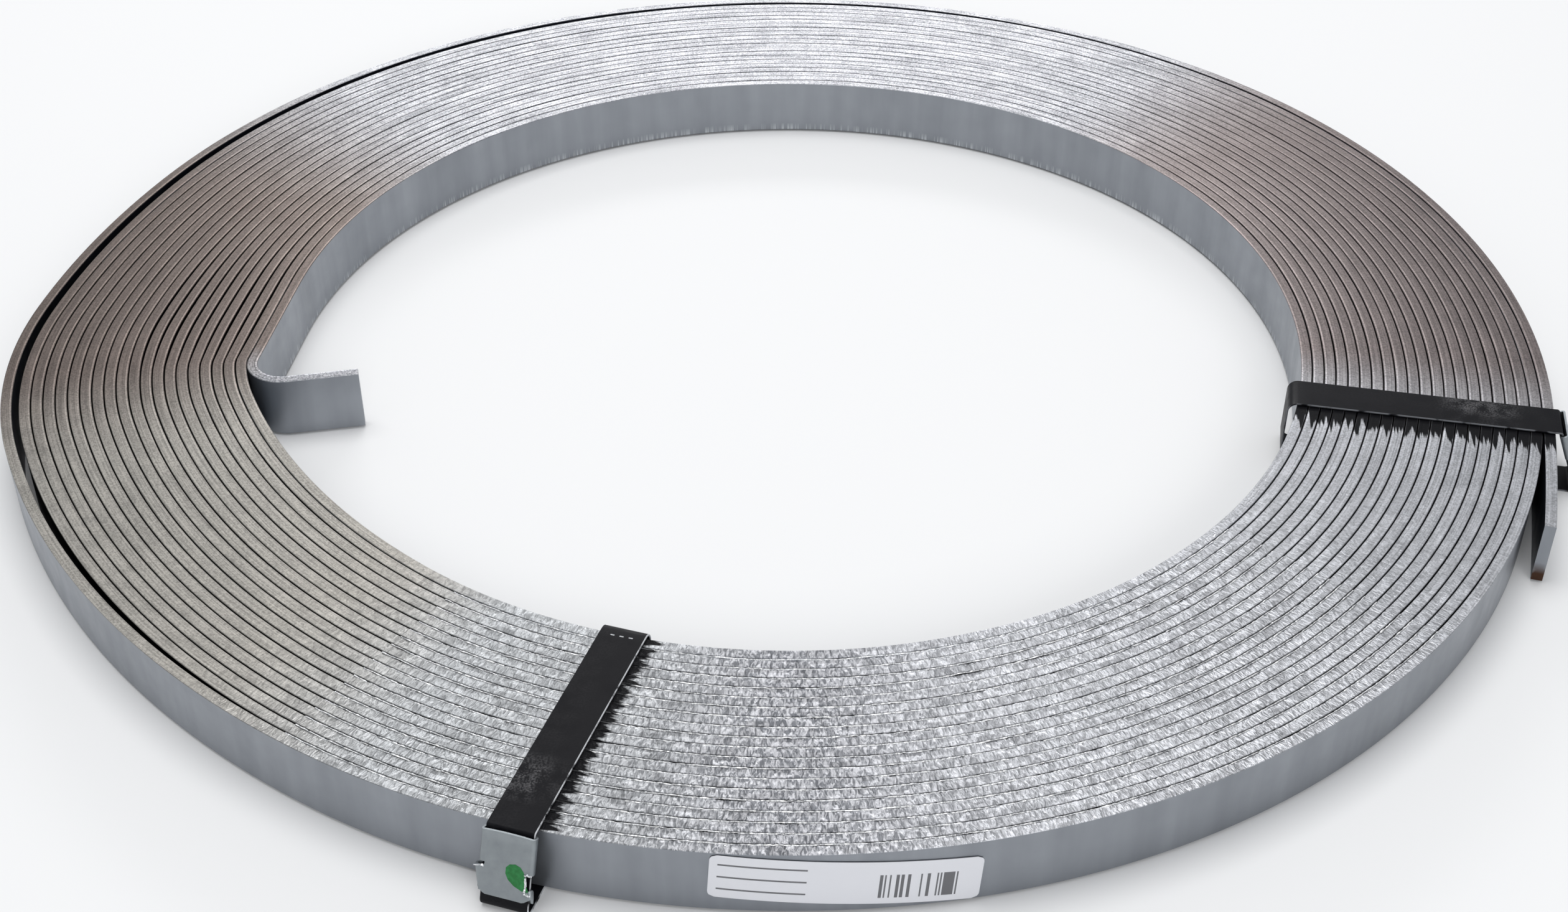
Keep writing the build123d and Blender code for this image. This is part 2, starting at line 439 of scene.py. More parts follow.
class RibbonTree:
    """Node tree that sweeps a rounded section along paths, wanders it and roughens its skin."""

    INPUTS = (
        ("Path", "NodeSocketGeometry"),
        ("Across", "NodeSocketFloat"),
        ("Depth", "NodeSocketFloat"),
        ("Corner", "NodeSocketFloat"),
        ("Corner Steps", "NodeSocketInt"),
        ("Wander", "NodeSocketFloat"),
        ("Wander Length", "NodeSocketFloat"),
        ("Ragged", "NodeSocketFloat"),
        ("Ragged Length", "NodeSocketFloat"),
        ("Seed", "NodeSocketInt"),
        ("Finish", "NodeSocketMaterial"),
    )

    def __init__(self, normal: CurveNormal) -> None:
        """Build the tree.

        Args:
            normal: How the section is held along the path.
        """
        self.tree = bpy.data.node_groups.new(f"ribbon_{normal.name.lower()}", "GeometryNodeTree")
        self.keys: dict[str, str] = {}
        for name, kind in self.INPUTS:
            socket = self.tree.interface.new_socket(name=name, in_out="INPUT", socket_type=kind)
            self.keys[name] = socket.identifier
        self.tree.interface.new_socket(name="Ribbon", in_out="OUTPUT",
                                       socket_type="NodeSocketGeometry")
        self.build(normal)

    def build(self, normal: CurveNormal) -> None:
        """Add the nodes: path, section, sweep, wander, roughening, finish.

        Args:
            normal: How the section is held along the path.
        """
        add = partial(add_node, self.tree)
        given = add("NodeGroupInput").outputs
        path = add("GeometryNodeMeshToCurve", {"Mesh": given["Path"]})
        held = add("GeometryNodeSetCurveNormal", {"Curve": path}, mode=normal.value)
        section = add("GeometryNodeCurvePrimitiveQuadrilateral",
                      {"Width": given["Across"], "Height": given["Depth"]})
        fillet = add("GeometryNodeFilletCurve",
                     {"Curve": section, "Radius": given["Corner"], "Count": given["Corner Steps"]},
                     mode="POLY")
        place = add("GeometryNodeInputPosition")
        across = add(SPLIT, {"Vector": place})
        noted = add("GeometryNodeStoreNamedAttribute",
                    {"Geometry": fillet, "Name": "across", "Value": across.outputs["X"]},
                    data_type="FLOAT", domain="POINT")
        swept = add("GeometryNodeCurveToMesh",
                    {"Curve": held, "Profile Curve": noted, "Fill Caps": True})
        run = add("GeometryNodeInputNamedAttribute", {"Name": "run"}, data_type="FLOAT")
        turns = add(MATH, {0: run, 1: given["Wander Length"]}, operation="DIVIDE")
        shifted = add(MATH, {0: turns, 1: given["Seed"]}, operation="ADD")
        slow = add(NOISE, {"W": shifted, "Scale": 1.0, "Detail": 2.0}, noise_dimensions="1D")
        centred = add(MATH, {0: slow, 1: 0.5}, operation="SUBTRACT")
        lift = add(MATH, {0: centred, 1: given["Wander"]}, operation="MULTIPLY")
        offset = add(JOIN, {"Z": lift})
        moved = add("GeometryNodeSetPosition", {"Geometry": swept, "Offset": offset})
        small = add(MATH, {0: 1.0, 1: given["Ragged Length"]}, operation="DIVIDE")
        fast = add(NOISE, {"Vector": place, "Scale": small, "Detail": 2.0})
        swing = add(MATH, {0: fast, 1: 0.5}, operation="SUBTRACT")
        push = add(MATH, {0: swing, 1: given["Ragged"]}, operation="MULTIPLY")
        away = add("GeometryNodeInputNormal")
        out = add(VECTOR, {0: away, "Scale": push}, operation="SCALE")
        rough = add("GeometryNodeSetPosition", {"Geometry": moved, "Offset": out})
        whole = add("GeometryNodeRealizeInstances", {"Geometry": rough})
        dressed = add("GeometryNodeSetMaterial", {"Geometry": whole, "Material": given["Finish"]})
        add("NodeGroupOutput", {0: dressed})

    def ribbon(self, name: str, paths: list[list[Vector]], closed: bool, size: RibbonSize,
               finish: bpy.types.Material) -> bpy.types.Object:
        """Sweep ribbons along paths.

        Args:
            name: Name of the finished piece.
            paths: Points of each path in millimetres.
            closed: Whether each path is a closed loop.
            size: Section, unevenness and roughness.
            finish: Material of the ribbons.

        Returns:
            The ribbons as one plain mesh object at the origin.
        """
        points: list[Vector] = []
        links: list[tuple[int, int]] = []
        runs: list[float] = []
        for path in paths:
            first = len(points)
            points += [p * MM for p in path]
            links += [(first + i, first + i + 1) for i in range(len(path) - 1)]
            if closed:
                links.append((len(points) - 1, first))
            runs.append(runs[-1] + 1.0 if runs else 0.0)
            for a, b in zip(path, path[1:]):
                runs.append(runs[-1] + (b - a).length * MM)
        mesh = bpy.data.meshes.new(f"{name}_path")
        mesh.from_pydata(points, links, [])
        mesh.attributes.new("run", "FLOAT", "POINT").data.foreach_set("value", runs)
        host = shown(f"{name}_path", mesh)
        modifier = host.modifiers.new("ribbon", "NODES")
        modifier.node_group = self.tree
        values = {"Across": size.across * MM, "Depth": size.depth * MM, "Corner": size.corner * MM,
                  "Corner Steps": size.corner_steps, "Wander": size.wander * MM,
                  "Wander Length": size.wander_length * MM, "Ragged": size.ragged * MM,
                  "Ragged Length": size.ragged_length * MM, "Seed": size.seed, "Finish": finish}
        for key, value in values.items():
            modifier[self.keys[key]] = value
        return baked(name, host)


def baked(name: str, host: bpy.types.Object) -> bpy.types.Object:
    """Turn an object with modifiers into a plain mesh object.

    Args:
        name: Name of the finished piece.
        host: The object, which is taken away.

    Returns:
        The finished piece at the origin.
    """
    seen = host.evaluated_get(bpy.context.evaluated_depsgraph_get())
    mesh = bpy.data.meshes.new_from_object(seen)
    host.modifiers.clear()
    bpy.data.objects.remove(host)
    mesh.shade_smooth()
    mesh.set_sharp_from_angle(angle=math.radians(SHARP_ANGLE))
    return shown(name, mesh)


def seat(piece: bpy.types.Object, slot: str, node: str = "") -> None:
    """Hand a finished piece to the frame.

    Args:
        piece: The piece.
        slot: Material slot it shows; not used.
        node: Node of the frame that it stands for, if any.
    """
    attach(piece, "root")
    if node:
        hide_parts(node)
    log.info("%s: %d faces", piece.name, len(piece.data.polygons))


@dataclass(frozen=True)
class Finish:
    """A material, named for the real one and how its surface was made."""

    name: str = "plain_finish"

    def inputs(self, add: Callable[..., Any]) -> dict:
        """What the shader's inputs are set or linked to.

        Args:
            add: Adds a node to the material's tree.
        """
        raise NotImplementedError

    def build(self) -> bpy.types.Material:
        """Make the material."""
        material = bpy.data.materials.new(self.name)
        material.use_nodes = True
        tree = material.node_tree
        fill(tree, tree.nodes["Principled BSDF"], self.inputs(partial(add_node, tree)))
        return material


@dataclass(frozen=True)
class Zone:
    """Stretch of the coil whose laps get a painted reflection tone of their own."""

    colour: str
    middle: float
    full: float
    fade: float


@dataclass(frozen=True)
class StrapShade:
    """Painted black shade and reflection of a strap on the laps beside it."""

    strap: StrapRoute
    side: float
    width: float


class BarPatterns:
    """Places and patterns on the strip that its colours and its relief share."""

    LUMP = 1.25
    LUMP_STRETCH = 0.42
    PATCH = (7.3, 4.6)
    LINE = 0.55
    LINE_STRETCH = 0.012
    GRAIN = 0.7
    CLOUD = 9.0
    STREAK = 11.0
    STREAK_STRETCH = 0.1
    FRONT_MIDDLE = 262.0
    FRONT_FADE = 58.0
    FRONT_FULL = 30.0

    def __init__(self, add: Callable[..., Any]) -> None:
        """Add the nodes.

        Args:
            add: Adds a node to the material's tree.
        """
        self.place = add(OBJECT_PLACE).outputs["Object"]
        self.xyz = add(SPLIT, {0: self.place}).outputs
        self.facing = add("ShaderNodeNewGeometry").outputs["Normal"]
        upward = add(SPLIT, {0: self.facing}).outputs["Z"]
        self.top = add(RANGE, {0: upward, 1: 0.35, 2: 0.8})
        self.run = add(ATTRIBUTE, attribute_name="run").outputs["Fac"]
        self.across = add(ATTRIBUTE, attribute_name="across").outputs["Fac"]
        level = add(JOIN, {"X": self.xyz["X"], "Y": self.xyz["Y"]})
        self.heading = add(VECTOR, {0: level}, operation="NORMALIZE")
        self.cloud = add(NOISE, {"Vector": self.place, "Scale": 1 / (self.CLOUD * MM),
                                 "Detail": 3.0})
        # Zinc lumps a millimetre long and longer across, and spangle patches as wide as a lap.
        flat = add(JOIN, {"X": self.run, "Y": self.across})
        squeezed = add(MAPPING, {"Vector": flat, "Scale": (1.0, self.LUMP_STRETCH, 1.0)})
        self.lumps = add(NOISE, {"Vector": squeezed, "Scale": 1 / (self.LUMP * MM), "Detail": 3.0,
                                 "Distortion": 1.1})
        cells = add(VECTOR, {0: flat, 1: (self.PATCH[0] * MM, self.PATCH[1] * MM, 1.0)},
                    operation="SNAP")
        self.patch = add("ShaderNodeTexWhiteNoise", {"Vector": cells}, noise_dimensions="2D")
        # Fine drawn lines and matte grain, and the streaks of the broad faces.
        drawn = add(MAPPING, {"Vector": flat, "Scale": (self.LINE_STRETCH, 1.0, 1.0)})
        lines = add(NOISE, {"Vector": drawn, "Scale": 1 / (self.LINE * MM), "Detail": 1.0})
        fine = add(NOISE, {"Vector": self.place, "Scale": 1 / (self.GRAIN * MM), "Detail": 2.0})
        matte = add(MIX, {0: 0.55, 2: lines, 3: fine}, data_type="FLOAT")
        upright = add(JOIN, {"X": self.run, "Z": self.xyz["Z"], "Y": self.across})
        hanging = add(MAPPING, {"Vector": upright, "Scale": (1.0, 1.0, self.STREAK_STRETCH)})
        self.streaks = add(NOISE, {"Vector": hanging, "Scale": 1 / (self.STREAK * MM),
                                   "Detail": 5.0})
        # How far a place belongs to the lumpy front.
        aim = add(VECTOR, {0: self.heading, 1: outward(self.FRONT_MIDDLE)}, operation="DOT_PRODUCT")
        self.front = add(RANGE, {0: aim, 1: math.cos(math.radians(self.FRONT_FADE)),
                                 2: math.cos(math.radians(self.FRONT_FULL))})
        self.grain = add(MIX, {0: self.front, 2: matte, 3: self.lumps}, data_type="FLOAT")


@dataclass(frozen=True)
class GalvanisedBar(Finish):
    """Hot-dip galvanised flat bar.

    The broad faces are smooth, blue-grey and faintly streaked, with painted shade on the loose
    lap's inner face and painted near-black shade on the faces hidden between laps. The narrow
    edges, which show as the coil's laps, are brighter: lumpy with runs of zinc at the front, and
    fine-lined at the left and the right back, with a painted highlight along a ridge beside each
    gap there. The zones paint the reflected surroundings as tones by bearing, taupe at the left
    and the right back. Lengths are in millimetres along the strip: its whole length, the bright
    tail's fade, and how long the first laps, the last ones and the loose one are. The strap shades
    are painted black shade and reflection of the straps on the laps beside them.
    """

    name: str = "hot_dip_galvanised_bar"
    length: float = 0.0
    strap_shades: tuple[StrapShade, ...] = ()
    face: str = "#9DA1A7"
    face_dull: str = "#8C9096"
    face_dark: str = "#3A3E48"
    drip: str = "#C2C6CA"
    edge: str = "#CBCBCF"
    edge_dull: str = "#76787D"
    painted_shade: str = "#0E0E11"
    rust: str = "#4F3A2F"
    painted_reflection: float = 1.0
    ridge_highlight: float = 1.55
    bright_tail: tuple[float, float] = (36.0, 62.0)
    first_lap: float = 1420.0
    last_laps: float = 2900.0
    loose_lap: float = 1900.0
    zones: tuple[Zone, ...] = (
        Zone("#B5B7B9", 300.0, 6.0, 30.0),
        Zone("#C4C5C9", 238.0, 10.0, 32.0),
        Zone("#7C716B", 357.0, 22.0, 48.0),
        Zone("#B1ADA6", 324.0, 10.0, 28.0),
        Zone("#8B817F", 168.0, 20.0, 42.0),
        Zone("#C4C5C9", 210.0, 8.0, 24.0),
    )

    def laps(self, add: Callable[..., Any], on: BarPatterns) -> Any:
        """Colour of the narrow edges, with painted reflection tones by zone, patches and painted
        ridge highlights.
        """
        contrast = add(RANGE, {0: on.grain, 1: 0.4, 2: 0.6})
        edge = add(MIX, {0: contrast, 6: linear(self.edge_dull), 7: linear(self.edge)},
                   data_type="RGBA")
        wound = add(RANGE, {0: on.run, 1: self.bright_tail[0] * MM, 2: self.bright_tail[1] * MM})
        # Painted reflection: each zone tints the laps near its bearing with a tone that stands in
        # for the reflected surroundings, taupe at the left and the right back, paler at the front
        # and the right.
        for zone in self.zones:
            toward = add(VECTOR, {0: on.heading, 1: outward(zone.middle)}, operation="DOT_PRODUCT")
            near = add(RANGE, {0: toward, 1: math.cos(math.radians(zone.fade)),
                               2: math.cos(math.radians(zone.full)), 4: self.painted_reflection},
                       interpolation_type="SMOOTHSTEP")
            near = add(MATH, {0: near, 1: wound}, operation="MULTIPLY")
            dark, light = [[c * share for c in linear(zone.colour)[:3]] + [1]
                           for share in (0.72, 1.25)]
            tone = add(MIX, {0: contrast, 6: dark, 7: light}, data_type="RGBA")
            edge = add(MIX, {0: near, 6: edge, 7: tone}, data_type="RGBA")
        shade = add(RANGE, {0: on.patch, 3: 0.7, 4: 1.22})
        some = add(RANGE, {0: on.cloud, 1: 0.4, 2: 0.55})
        some = add(MATH, {0: some, 1: on.front}, operation="MULTIPLY")
        patched = add(MIX, {0: some, 2: 1.0, 3: shade}, data_type="FLOAT")
        # Painted highlight: a light line along each lap's outer ridge, shown only at the left and
        # the right back.
        apart = add(MATH, {0: on.across, 1: self.ridge_highlight * MM}, operation="SUBTRACT")
        apart = add(MATH, {0: apart}, operation="ABSOLUTE")
        ridge_highlight = add(RANGE, {0: apart, 1: 0.42 * MM, 2: 0.14 * MM, 3: 1.0, 4: 2.1})
        bearing = add(SPLIT, {0: on.heading}).outputs
        sideways = add(MATH, {0: bearing["X"]}, operation="ABSOLUTE")
        sideways = add(RANGE, {0: sideways, 1: 0.78, 2: 0.92})
        behind = add(RANGE, {0: bearing["Y"], 1: -0.42, 2: -0.12})
        highlight_bearings = add(MATH, {0: sideways, 1: behind}, operation="MULTIPLY")
        ridge_highlight = add(MIX, {0: highlight_bearings, 2: 1.0, 3: ridge_highlight}, data_type="FLOAT")
        scale = add(MATH, {0: patched, 1: ridge_highlight}, operation="MULTIPLY")
        return add(VECTOR, {0: edge, "Scale": scale}, operation="SCALE")

    def walls(self, add: Callable[..., Any], on: BarPatterns) -> Any:
        """Colour of the broad faces: streaks, drips in the bore, painted shade on the loose lap and
        inside the coil.
        """
        inward = add(VECTOR, {0: on.heading, 1: on.facing}, operation="DOT_PRODUCT")
        inward = add(MATH, {0: inward, 1: -0.5}, operation="LESS_THAN")
        run_down = add(RANGE, {0: on.streaks, 1: 0.25, 2: 0.75})
        hem = add(RANGE, {0: on.xyz["Z"], 1: 4.5 * MM, 2: 1.5 * MM})
        drops = add(RANGE, {0: on.lumps, 1: 0.52, 2: 0.6})
        drips = add(MATH, {0: hem, 1: drops}, operation="MULTIPLY")
        drips = add(MATH, {0: drips, 1: inward}, operation="MULTIPLY")
        # Painted shade: the loose lap's inward face is darkened towards the gap behind it.
        loose = add(MATH, {0: on.run, 1: (self.length - self.loose_lap) * MM},
                    operation="GREATER_THAN")
        shaded = add(MATH, {0: loose, 1: inward}, operation="MULTIPLY")
        # Painted shade: the faces between two laps, hidden inside the coil, are near black.
        past = add(MATH, {0: on.run, 1: self.first_lap * MM}, operation="GREATER_THAN")
        before = add(MATH, {0: on.run, 1: (self.length - self.last_laps) * MM},
                     operation="LESS_THAN")
        gap_shade = add(MATH, {0: past, 1: before}, operation="MULTIPLY")
        face: Any = linear(self.face_dull)
        for share, colour in ((run_down, self.face), (drips, self.drip), (shaded, self.face_dark),
                              (gap_shade, self.painted_shade)):
            face = add(MIX, {0: share, 6: face, 7: linear(colour)}, data_type="RGBA")
        return face

    def wear_and_shade(self, add: Callable[..., Any], on: BarPatterns) -> Any:
        """Share of painted black shade and reflection beside the straps: teeth, one or more to a
        lap.
        """
        black: Any = 0.0
        # Painted shade and reflection of each strap: black teeth on the laps beside it, broken into
        # streaks on the broad faces.
        for painted_shade in self.strap_shades:
            turned = painted_shade.strap.place().inverted()
            own = add(MAPPING, {"Vector": on.place, "Location": turned.translation * MM,
                                "Rotation": turned.to_euler()})
            local = add(SPLIT, {0: own}).outputs
            beside = add(MATH, {0: local["Y"], 1: painted_shade.side}, operation="MULTIPLY")
            teeth = add(NOISE, {"W": local["X"], "Scale": 1 / (2.3 * MM), "Detail": 4.0},
                        noise_dimensions="1D")
            half = painted_shade.strap.width / 2
            reach = add(RANGE, {0: teeth, 1: 0.25, 2: 0.7, 3: (half + painted_shade.width * 0.2) * MM,
                                4: (half + painted_shade.width * 1.4) * MM})
            short = add(MATH, {0: reach, 1: beside}, operation="SUBTRACT")
            near = add(RANGE, {0: short, 1: -0.8 * MM, 2: 1.0 * MM})
            inside = add(MATH, {0: beside, 1: half / 2 * MM}, operation="GREATER_THAN")
            beyond = add(MATH, {0: local["X"], 1: 0.1}, operation="GREATER_THAN")
            both = add(MATH, {0: inside, 1: beyond}, operation="MULTIPLY")
            one = add(MATH, {0: near, 1: both}, operation="MULTIPLY")
            black = add(MATH, {0: black, 1: one}, operation="MAXIMUM")
        streaked_shade = add(RANGE, {0: on.streaks, 1: 0.42, 2: 0.58, 3: 0.25, 4: 0.95})
        solid = add(MIX, {0: on.top, 2: streaked_shade, 3: 1.0}, data_type="FLOAT")
        return add(MATH, {0: black, 1: solid}, operation="MULTIPLY")

    def rusted(self, add: Callable[..., Any], on: BarPatterns) -> Any:
        """Share of rust, in patches at the foot of the cut end."""
        end = add(RANGE, {0: on.run, 1: (self.length - 0.4) * MM, 2: (self.length - 0.2) * MM})
        low = add(RANGE, {0: on.xyz["Z"], 1: 9 * MM, 2: 4 * MM})
        foot = add(MATH, {0: end, 1: low}, operation="MULTIPLY")
        patchy = add(RANGE, {0: on.cloud, 1: 0.4, 2: 0.55})
        return add(MATH, {0: foot, 1: patchy}, operation="MULTIPLY")

    def inputs(self, add: Callable[..., Any]) -> dict:
        """Colours, metal that the painted black shade hides, and relief."""
        on = BarPatterns(add)
        black = self.wear_and_shade(add, on)
        walls, laps = self.walls(add, on), self.laps(add, on)
        colour = add(MIX, {0: on.top, 6: walls, 7: laps}, data_type="RGBA")
        for share, paint in ((black, self.painted_shade), (self.rusted(add, on), self.rust)):
            colour = add(MIX, {0: share, 6: colour, 7: linear(paint)}, data_type="RGBA")
        coarse = add(MATH, {0: on.front, 1: on.top}, operation="MULTIPLY")
        depth = add(RANGE, {0: coarse, 3: 0.16, 4: 0.85})
        relief = add(MIX, {0: on.top, 2: on.streaks, 3: on.grain}, data_type="FLOAT")
        return {
            "Base Color": colour,
            "Metallic": add(RANGE, {0: black, 3: 1.0, 4: 0.0}),
            "Specular IOR Level": add(RANGE, {0: black, 3: 0.5, 4: 0.08}),
            "Roughness": add(RANGE, {0: on.cloud, 1: 0.3, 2: 0.7, 3: 0.36, 4: 0.48}),
            "Normal": add(BUMP, {"Height": relief, "Strength": depth, "Distance": 0.6 * MM}),
        }


@dataclass(frozen=True)
class BlackStrapping(Finish):
    """Cold-rolled strapping with thin black paint: satin, scuffed, worn bright along one edge.

    The scuff lies between two distances from the axis in millimetres, the bright side is 1 or -1
    for the edge whose paint has worn off, and nicks is the distance of a row of short scratches.
    """

    name: str = "black_painted_strapping"
    scuff: tuple[float, float] = (270.0, 286.0)
    bright_side: float = 1.0
    nicks: float = 0.0
    paint: str = "#101014"
    worn: str = "#727173"
    bare: str = "#B9BBBE"
    rim: float = 7.65
    nick_width: float = 0.22
    nick_step: float = 1.6
    nick_reach: float = 5.6

    def inputs(self, add: Callable[..., Any]) -> dict:
        """Black paint, its scuffs, its worn rim and a row of short scratches across it."""
        place = add(OBJECT_PLACE).outputs["Object"]
        across = add(ATTRIBUTE, attribute_name="across").outputs["Fac"]
        broad = add(NOISE, {"Vector": place, "Scale": 1 / (5 * MM), "Detail": 5.0})
        fine = add(NOISE, {"Vector": place, "Scale": 1 / (0.7 * MM), "Detail": 2.0})
        radius = add(VECTOR, {0: place, 1: (0.0, 0.0, 0.0)}, operation="DISTANCE")
        side = add(MATH, {0: across, 1: self.bright_side}, operation="MULTIPLY")
        # Scuffs, between two distances from the axis and mostly off the worn rim's side.
        both = add(MATH, {0: broad, 1: fine}, operation="MULTIPLY")
        start, end = self.scuff
        off = add(MATH, {0: radius, 1: (start + end) / 2 * MM}, operation="SUBTRACT")
        off = add(MATH, {0: off}, operation="ABSOLUTE")
        half = (end - start) / 2
        here = add(RANGE, {0: off, 1: half * 1.4 * MM, 2: half * 0.5 * MM, 3: 0.03, 4: 0.55})
        scuffed = add(RANGE, {0: both, 1: 0.2, 2: 0.38})
        scuffed = add(MATH, {0: scuffed, 1: here}, operation="MULTIPLY")
        wear_and_shade = add(RANGE, {0: side, 1: 3 * MM, 2: -1 * MM, 3: 0.2, 4: 1.0})
        scuffed = add(MATH, {0: scuffed, 1: wear_and_shade}, operation="MULTIPLY")
        rim = add(RANGE, {0: side, 1: self.rim * MM, 2: (self.rim + 0.1) * MM})
        kept = add(RANGE, {0: broad, 1: 0.36, 2: 0.5})
        rim = add(MATH, {0: rim, 1: kept}, operation="MULTIPLY")
        # The row of scratches.
        along = add(MATH, {0: radius, 1: self.nicks * MM}, operation="SUBTRACT")
        along = add(MATH, {0: along}, operation="ABSOLUTE")
        row = add(MATH, {0: along, 1: self.nick_width * MM}, operation="LESS_THAN")
        dash = add(MATH, {0: across, 1: self.nick_step * MM}, operation="PINGPONG")
        dash = add(MATH, {0: dash, 1: 0.7 * MM}, operation="LESS_THAN")
        inner = add(MATH, {0: across}, operation="ABSOLUTE")
        inner = add(MATH, {0: inner, 1: self.nick_reach * MM}, operation="LESS_THAN")
        row = add(MATH, {0: row, 1: dash}, operation="MULTIPLY")
        row = add(MATH, {0: row, 1: inner}, operation="MULTIPLY")
        colour: Any = linear(self.paint)
        for share, wear in ((scuffed, self.worn), (rim, self.bare), (row, self.bare)):
            colour = add(MIX, {0: share, 6: colour, 7: linear(wear)}, data_type="RGBA")
        return {
            "Base Color": colour,
            "Roughness": add(RANGE, {0: broad, 1: 0.3, 2: 0.7, 3: 0.36, 4: 0.52}),
            "Specular IOR Level": 0.12,
            "Normal": add(BUMP, {"Height": fine, "Strength": 0.15, "Distance": 0.1 * MM}),
        }


@dataclass(frozen=True)
class SealSheet(Finish):
    """Pressed galvanised sheet: fine satin grey, a little cloudy."""

    name: str = "galvanised_seal_sheet"
    zinc: str = "#A2A8AB"
    dull: str = "#868C90"

    def inputs(self, add: Callable[..., Any]) -> dict:
        """Cloudy grey metal."""
        place = add(OBJECT_PLACE).outputs["Object"]
        cloud = add(NOISE, {"Vector": place, "Scale": 1 / (3 * MM), "Detail": 4.0})
        return {
            "Base Color": add(MIX, {0: cloud, 6: linear(self.dull), 7: linear(self.zinc)},
                              data_type="RGBA"),
            "Metallic": 0.85,
            "Roughness": add(RANGE, {0: cloud, 3: 0.38, 4: 0.52}),
            "Normal": add(BUMP, {"Height": cloud, "Strength": 0.3, "Distance": 0.3 * MM}),
        }


@dataclass(frozen=True)
class LabelPaper(Finish):
    """Coated white paper with black bars and grey ruled lines: matt."""

    name: str = "coated_label_paper"
    paper: str = "#E2E3E8"
    ink: str = "#2E2E33"
    bar_width: float = 0.5
    rule_gap: float = 2.6
    bar_window: tuple[float, ...] = (10.0, 35.0, -6.5, 3.5)
    rule_window: tuple[float, ...] = (-39.0, -12.0, -6.5, 6.5)

    def inputs(self, add: Callable[..., Any]) -> dict:
        """Upright bars at the right and ruled lines at the left."""
        along = add(ATTRIBUTE, attribute_name="along").outputs["Fac"]
        up = add(ATTRIBUTE, attribute_name="up").outputs["Fac"]
        step = add(MATH, {0: along, 1: self.bar_width}, operation="SNAP")
        pick = add("ShaderNodeTexWhiteNoise", {"W": step}, noise_dimensions="1D")
        bars = add(MATH, {0: pick, 1: 0.52}, operation="GREATER_THAN")
        wave = add(MATH, {0: up, 1: self.rule_gap}, operation="PINGPONG")
        rules = add(MATH, {0: wave, 1: 0.35}, operation="LESS_THAN")
        total: Any = 0.0
        for marks, window in ((bars, self.bar_window), (rules, self.rule_window)):
            for value, limit, sense in zip((along, along, up, up), window,
                                           ("GREATER_THAN", "LESS_THAN") * 2):
                within = add(MATH, {0: value, 1: limit}, operation=sense)
                marks = add(MATH, {0: marks, 1: within}, operation="MULTIPLY")
            total = add(MATH, {0: total, 1: marks}, operation="ADD")
        faint = add(MATH, {0: total, 1: 0.85}, operation="MULTIPLY")
        return {
            "Base Color": add(MIX, {0: faint, 6: linear(self.paper), 7: linear(self.ink)},
                              data_type="RGBA"),
            "Roughness": 0.5,
        }


@dataclass(frozen=True)
class DabPaint(Finish):
    """Thick green marker paint: even, with clouds of thinner paint."""

    name: str = "green_marker_paint"
    thick: str = "#0F6A2C"
    thin: str = "#237F40"

    def inputs(self, add: Callable[..., Any]) -> dict:
        """Clouds of thinner paint."""
        place = add(OBJECT_PLACE).outputs["Object"]
        cloud = add(NOISE, {"Vector": place, "Scale": 1 / (1.2 * MM), "Detail": 3.0})
        share = add(RANGE, {0: cloud, 1: 0.4, 2: 0.7})
        return {
            "Base Color": add(MIX, {0: share, 6: linear(self.thick), 7: linear(self.thin)},
                              data_type="RGBA"),
            "Roughness": 0.45,
        }


@dataclass(frozen=True)
class TornZinc(Finish):
    """Freshly torn sheet edge: bare, bright and smooth."""

    name: str = "torn_bright_sheet"
    metal: str = "#E6E8EA"

    def inputs(self, add: Callable[..., Any]) -> dict:
        """Plain bright metal."""
        return {"Base Color": linear(self.metal), "Metallic": 1.0, "Roughness": 0.25}


@dataclass(frozen=True)
class PaleFloor(Finish):
    """Matt white board: even and without a shine."""

    name: str = "pale_floor"
    white: str = "#F4F4F4"

    def inputs(self, add: Callable[..., Any]) -> dict:
        """Plain white."""
        return {"Base Color": linear(self.white), "Roughness": 0.9, "Specular IOR Level": 0.0}


@dataclass
class Coil:
    """The wound strip and the zinc that ran into the gaps between its laps."""

    path: StripPath
    underside: float
    width: float = 25.0
    zinc: float = 0.1
    corner: float = 0.2
    ease: float = 0.05
    wander: float = 0.5
    bead: RibbonSize = RibbonSize(0.55, 0.9, 0.15, wander=0.7, wander_length=14.0, ragged=0.75,
                                  ragged_length=1.1, seed=3)
    bead_sink: float = 0.4
    bead_aside: float = 0.34
    bead_start: float = 222.0
    bead_end: float = 303.0
    bead_step: float = 0.9

    def build(self, strap_shades: tuple[StrapShade, ...]) -> None:
        """Make the strip and the beads.

        Args:
            strap_shades: Painted black shade and reflection of the straps beside them.
        """
        lift = Vector((0, 0, self.underside + self.width / 2))
        thickness = self.path.thickness + self.zinc
        depth = self.path.thickness - self.ease - thickness / 2
        points = [p + lift for p in self.path.middle(depth)]
        length = sum((b - a).length for a, b in zip(points, points[1:]))
        finish = GalvanisedBar(length=length, strap_shades=strap_shades).build()
        size = RibbonSize(thickness, self.width - self.wander / 2, self.corner, wander=self.wander)
        tree = RibbonTree(CurveNormal.LEVEL)
        strip = tree.ribbon("wound_strip", [points], False, size, finish)
        seat(strip, "galvanised_strip", "strip_coil")
        height = Vector((0, 0, self.underside + self.width - self.bead_sink))
        beads = [[p + height for p in self.path.gap(lap, self.bead_aside, self.bead_start,
                                                    self.bead_end, self.bead_step)]
                 for lap in range(self.path.laps - 1)]
        bright = GalvanisedBar("fresh_zinc_bead", length, strap_shades, edge="#FFFFFF",
                               edge_dull="#BEC0C3", painted_reflection=0.0).build()
        seat(tree.ribbon("zinc_beads", beads, False, self.bead, bright), "galvanised_strip")


